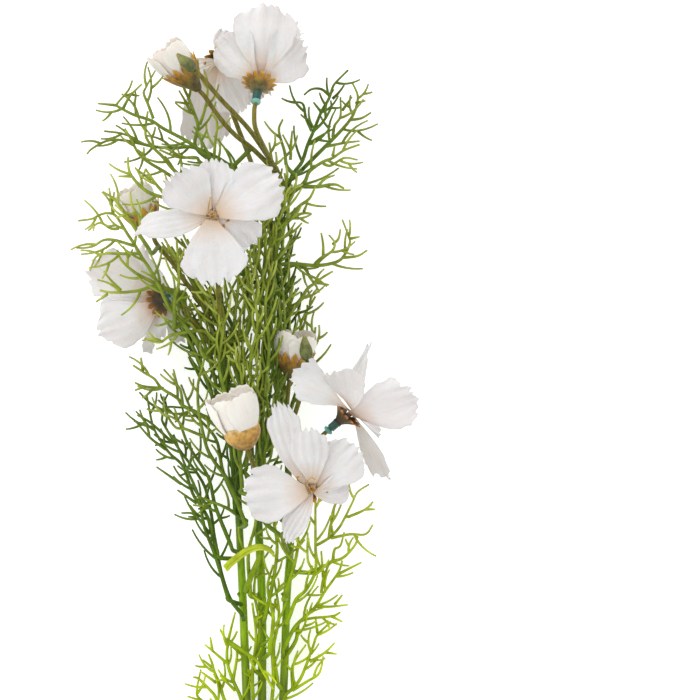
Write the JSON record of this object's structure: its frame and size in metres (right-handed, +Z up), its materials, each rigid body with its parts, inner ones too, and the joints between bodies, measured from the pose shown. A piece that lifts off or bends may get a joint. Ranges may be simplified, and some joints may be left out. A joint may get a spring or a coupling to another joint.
{
  "type": "artificial cosmos flower bunch",
  "caption": "Bunch of artificial white cosmos lying on its side: cloth petals in toothed calyces and buds on tied wire stems, with thread-like moulded leaves.",
  "frame": {"origin": "middle of the bunch's box, on the surface that the bunch lies on", "axes": "+Y along the stems, from their cut feet to the top bloom, and +Z up from the surface"},
  "size_m": [0.1793, 0.4659, 0.1131],
  "materials": {
    "petal_cloth": "matte",
    "calyx_plastic": "matte",
    "collar_plastic": "satin",
    "stamen_plastic": "matte",
    "bud_plastic": "matte",
    "stem_plastic": "satin",
    "leaf_plastic": "satin",
    "tie_tape": "matte"
  },
  "bodies": {
    "root": {"bloom_behind_calyx": "calyx_plastic", "bloom_behind_collar": "collar_plastic", "bloom_behind_petals_back": "petal_cloth", "bloom_behind_petals_front": "petal_cloth", "bloom_behind_stamens": "stamen_plastic", "bloom_centre_calyx": "calyx_plastic", "bloom_centre_collar": "collar_plastic", "bloom_centre_petals_back": "petal_cloth", "bloom_centre_petals_front": "petal_cloth", "bloom_centre_stamens": "stamen_plastic", "bloom_front_calyx": "calyx_plastic", "bloom_front_collar": "collar_plastic", "bloom_front_petals_back": "petal_cloth", "bloom_front_petals_front": "petal_cloth", "bloom_front_stamens": "stamen_plastic", "bloom_left_calyx": "calyx_plastic", "bloom_left_collar": "collar_plastic", "bloom_left_petals_back": "petal_cloth", "bloom_left_petals_front": "petal_cloth", "bloom_left_stamens": "stamen_plastic", "bloom_right_calyx": "calyx_plastic", "bloom_right_collar": "collar_plastic", "bloom_right_petals_back": "petal_cloth", "bloom_right_petals_front": "petal_cloth", "bloom_right_stamens": "stamen_plastic", "bloom_top_calyx": "calyx_plastic", "bloom_top_collar": "collar_plastic", "bloom_top_petals_back": "petal_cloth", "bloom_top_petals_front": "petal_cloth", "bloom_top_stamens": "stamen_plastic", "bud_low": "bud_plastic", "bud_middle": "bud_plastic", "bud_top": "bud_plastic", "frond_arch_left": "leaf_plastic", "frond_back_left": "leaf_plastic", "frond_back_right": "leaf_plastic", "frond_foot_left": "leaf_plastic", "frond_foot_right": "leaf_plastic", "frond_high_right": "leaf_plastic", "frond_low_back": "leaf_plastic", "frond_low_left": "leaf_plastic", "frond_low_right": "leaf_plastic", "frond_mid_right": "leaf_plastic", "frond_over_left": "leaf_plastic", "frond_side_left": "leaf_plastic", "frond_side_right": "leaf_plastic", "frond_top_left": "leaf_plastic", "frond_top_right": "leaf_plastic", "half_open_front_calyx": "calyx_plastic", "half_open_front_petals": "petal_cloth", "half_open_left_calyx": "calyx_plastic", "half_open_left_petals": "petal_cloth", "half_open_middle_calyx": "calyx_plastic", "half_open_middle_petals": "petal_cloth", "half_open_top_left_calyx": "calyx_plastic", "half_open_top_left_petals": "petal_cloth", "stem_left": "stem_plastic", "stem_right": "stem_plastic", "stem_tall": "stem_plastic", "tie": "tie_tape"}
  },
  "joints": []
}
